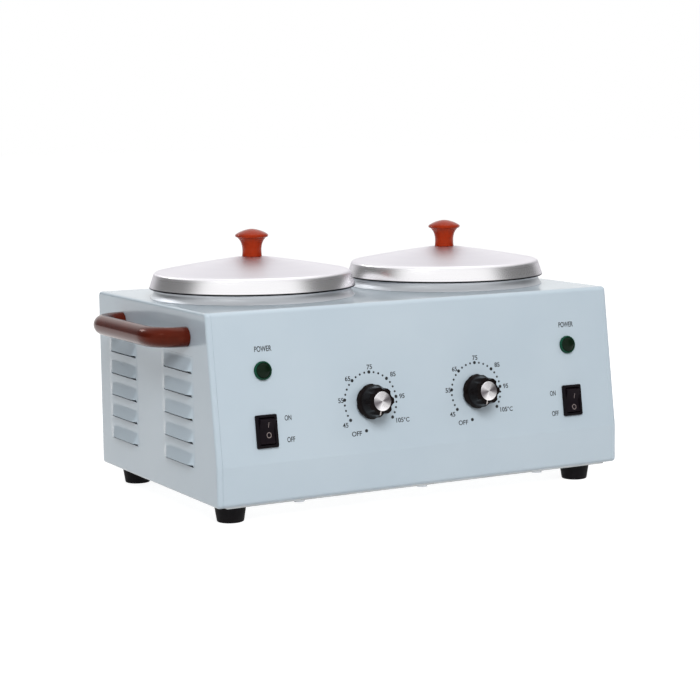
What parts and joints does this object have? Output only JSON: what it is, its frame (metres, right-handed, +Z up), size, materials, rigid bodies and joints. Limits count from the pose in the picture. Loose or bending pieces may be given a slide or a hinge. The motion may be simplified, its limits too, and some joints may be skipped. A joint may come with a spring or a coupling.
{
  "type": "double wax warmer",
  "caption": "Twin-pot wax warmer with a sloping steel front, spun aluminium lids, temperature dials, rocker switches and red-brown handles.",
  "frame": {"origin": "on the table, under the middle of the object's box", "axes": "+X to the right seen from the front, +Y to the back, +Z up"},
  "size_m": [0.357, 0.2066, 0.1792],
  "materials": {
    "coated_steel": "satin powder coat",
    "spun_aluminium": "spun",
    "lid_aluminium": "spun and polished",
    "red_phenolic": "glossy",
    "black_phenolic": "glossy",
    "black_plastic": "semi-gloss",
    "rocker_plastic": "semi-gloss",
    "inner_plastic": "matt",
    "foot_rubber": "matt",
    "zinc_steel": "zinc plated",
    "steel_wire": "drawn",
    "base_steel": "galvanised",
    "brass": "plain",
    "copper": "drawn",
    "cap_aluminium": "turned",
    "green_lens": "glossy",
    "heater_mica": "matt",
    "cream_plastic": "matt",
    "wire_silicone": "matt"
  },
  "bodies": {
    "housing": {"base_plate": "base_steel", "housing_cover": "coated_steel", "left_side_panel": "coated_steel", "right_side_panel": "coated_steel", "panel_screws": "zinc_steel", "left_handle": "red_phenolic", "right_handle": "red_phenolic", "handle_screws": "zinc_steel", "front_left_foot": "foot_rubber", "front_right_foot": "foot_rubber", "rear_left_foot": "foot_rubber", "rear_right_foot": "foot_rubber", "foot_screws": "zinc_steel", "foot_nuts": "zinc_steel", "base_screws": "zinc_steel", "left_well": "spun_aluminium", "right_well": "spun_aluminium", "left_heater": "heater_mica", "right_heater": "heater_mica", "left_well_bracket": "base_steel", "right_well_bracket": "base_steel", "stud_nuts": "zinc_steel", "bracket_screws": "zinc_steel", "left_thermostat": "inner_plastic", "right_thermostat": "inner_plastic", "thermostat_nuts": "brass", "left_sensor": "copper", "right_sensor": "copper", "left_lamp_lens": "green_lens", "right_lamp_lens": "green_lens", "left_lamp_holder": "inner_plastic", "right_lamp_holder": "inner_plastic", "left_switch_frame": "black_plastic", "right_switch_frame": "black_plastic", "power_inlet": "black_plastic", "inlet_pins": "brass", "inlet_screws": "zinc_steel", "terminal_block": "cream_plastic", "terminal_screws": "brass", "wiring": "wire_silicone"},
    "left_pot": {"left_pot": "spun_aluminium"},
    "left_pot_bail": {"left_pot_bail": "steel_wire"},
    "left_lid": {"left_lid": "lid_aluminium", "left_lid_knob": "red_phenolic", "left_lid_screw": "zinc_steel"},
    "left_dial": {"left_thermostat_shaft": "zinc_steel", "left_dial_knob": "black_phenolic", "left_dial_cap": "cap_aluminium"},
    "left_rocker": {"left_rocker": "rocker_plastic"},
    "right_pot": {"right_pot": "spun_aluminium"},
    "right_pot_bail": {"right_pot_bail": "steel_wire"},
    "right_lid": {"right_lid": "lid_aluminium", "right_lid_knob": "red_phenolic", "right_lid_screw": "zinc_steel"},
    "right_dial": {"right_thermostat_shaft": "zinc_steel", "right_dial_knob": "black_phenolic", "right_dial_cap": "cap_aluminium"},
    "right_rocker": {"right_rocker": "rocker_plastic"}
  },
  "joints": [
    {"name": "left_pot_lift", "type": "slide", "parent": "housing", "child": "left_pot", "axis": [0, 0, 1], "range_m": [0, 0.13]},
    {"name": "left_lid_lift", "type": "slide", "parent": "left_pot", "child": "left_lid", "axis": [0, 0, 1], "range_m": [0, 0.16]},
    {"name": "left_bail_swing", "type": "hinge", "parent": "left_pot", "child": "left_pot_bail", "pos_m": [-0.076, 0.01085, 0.1459], "axis": [1, 0, 0], "range_deg": [0, 90]},
    {"name": "left_dial_turn", "type": "hinge", "parent": "housing", "child": "left_dial", "pos_m": [-0.0403, -0.0866, 0.07108], "axis": [0, 0.9903, -0.1392], "range_deg": [0, 292]},
    {"name": "left_rocker_tilt", "type": "hinge", "parent": "housing", "child": "left_rocker", "pos_m": [-0.1164, -0.08732, 0.05876], "axis": [-1, 0, 0], "range_deg": [0, 16]},
    {"name": "right_pot_lift", "type": "slide", "parent": "housing", "child": "right_pot", "axis": [0, 0, 1], "range_m": [0, 0.13]},
    {"name": "right_lid_lift", "type": "slide", "parent": "right_pot", "child": "right_lid", "axis": [0, 0, 1], "range_m": [0, 0.16]},
    {"name": "right_bail_swing", "type": "hinge", "parent": "right_pot", "child": "right_pot_bail", "pos_m": [0.076, 0.01085, 0.1459], "axis": [1, 0, 0], "range_deg": [0, 90]},
    {"name": "right_dial_turn", "type": "hinge", "parent": "housing", "child": "right_dial", "pos_m": [0.0403, -0.0866, 0.07108], "axis": [0, 0.9903, -0.1392], "range_deg": [0, 292]},
    {"name": "right_rocker_tilt", "type": "hinge", "parent": "housing", "child": "right_rocker", "pos_m": [0.1164, -0.08732, 0.05876], "axis": [-1, 0, 0], "range_deg": [0, 16]}
  ],
  "couplings": [
    {"joint": "left_bail_swing", "follows": "left_lid_lift", "rad_per_m": 9.817},
    {"joint": "right_bail_swing", "follows": "right_lid_lift", "rad_per_m": 9.817}
  ]
}
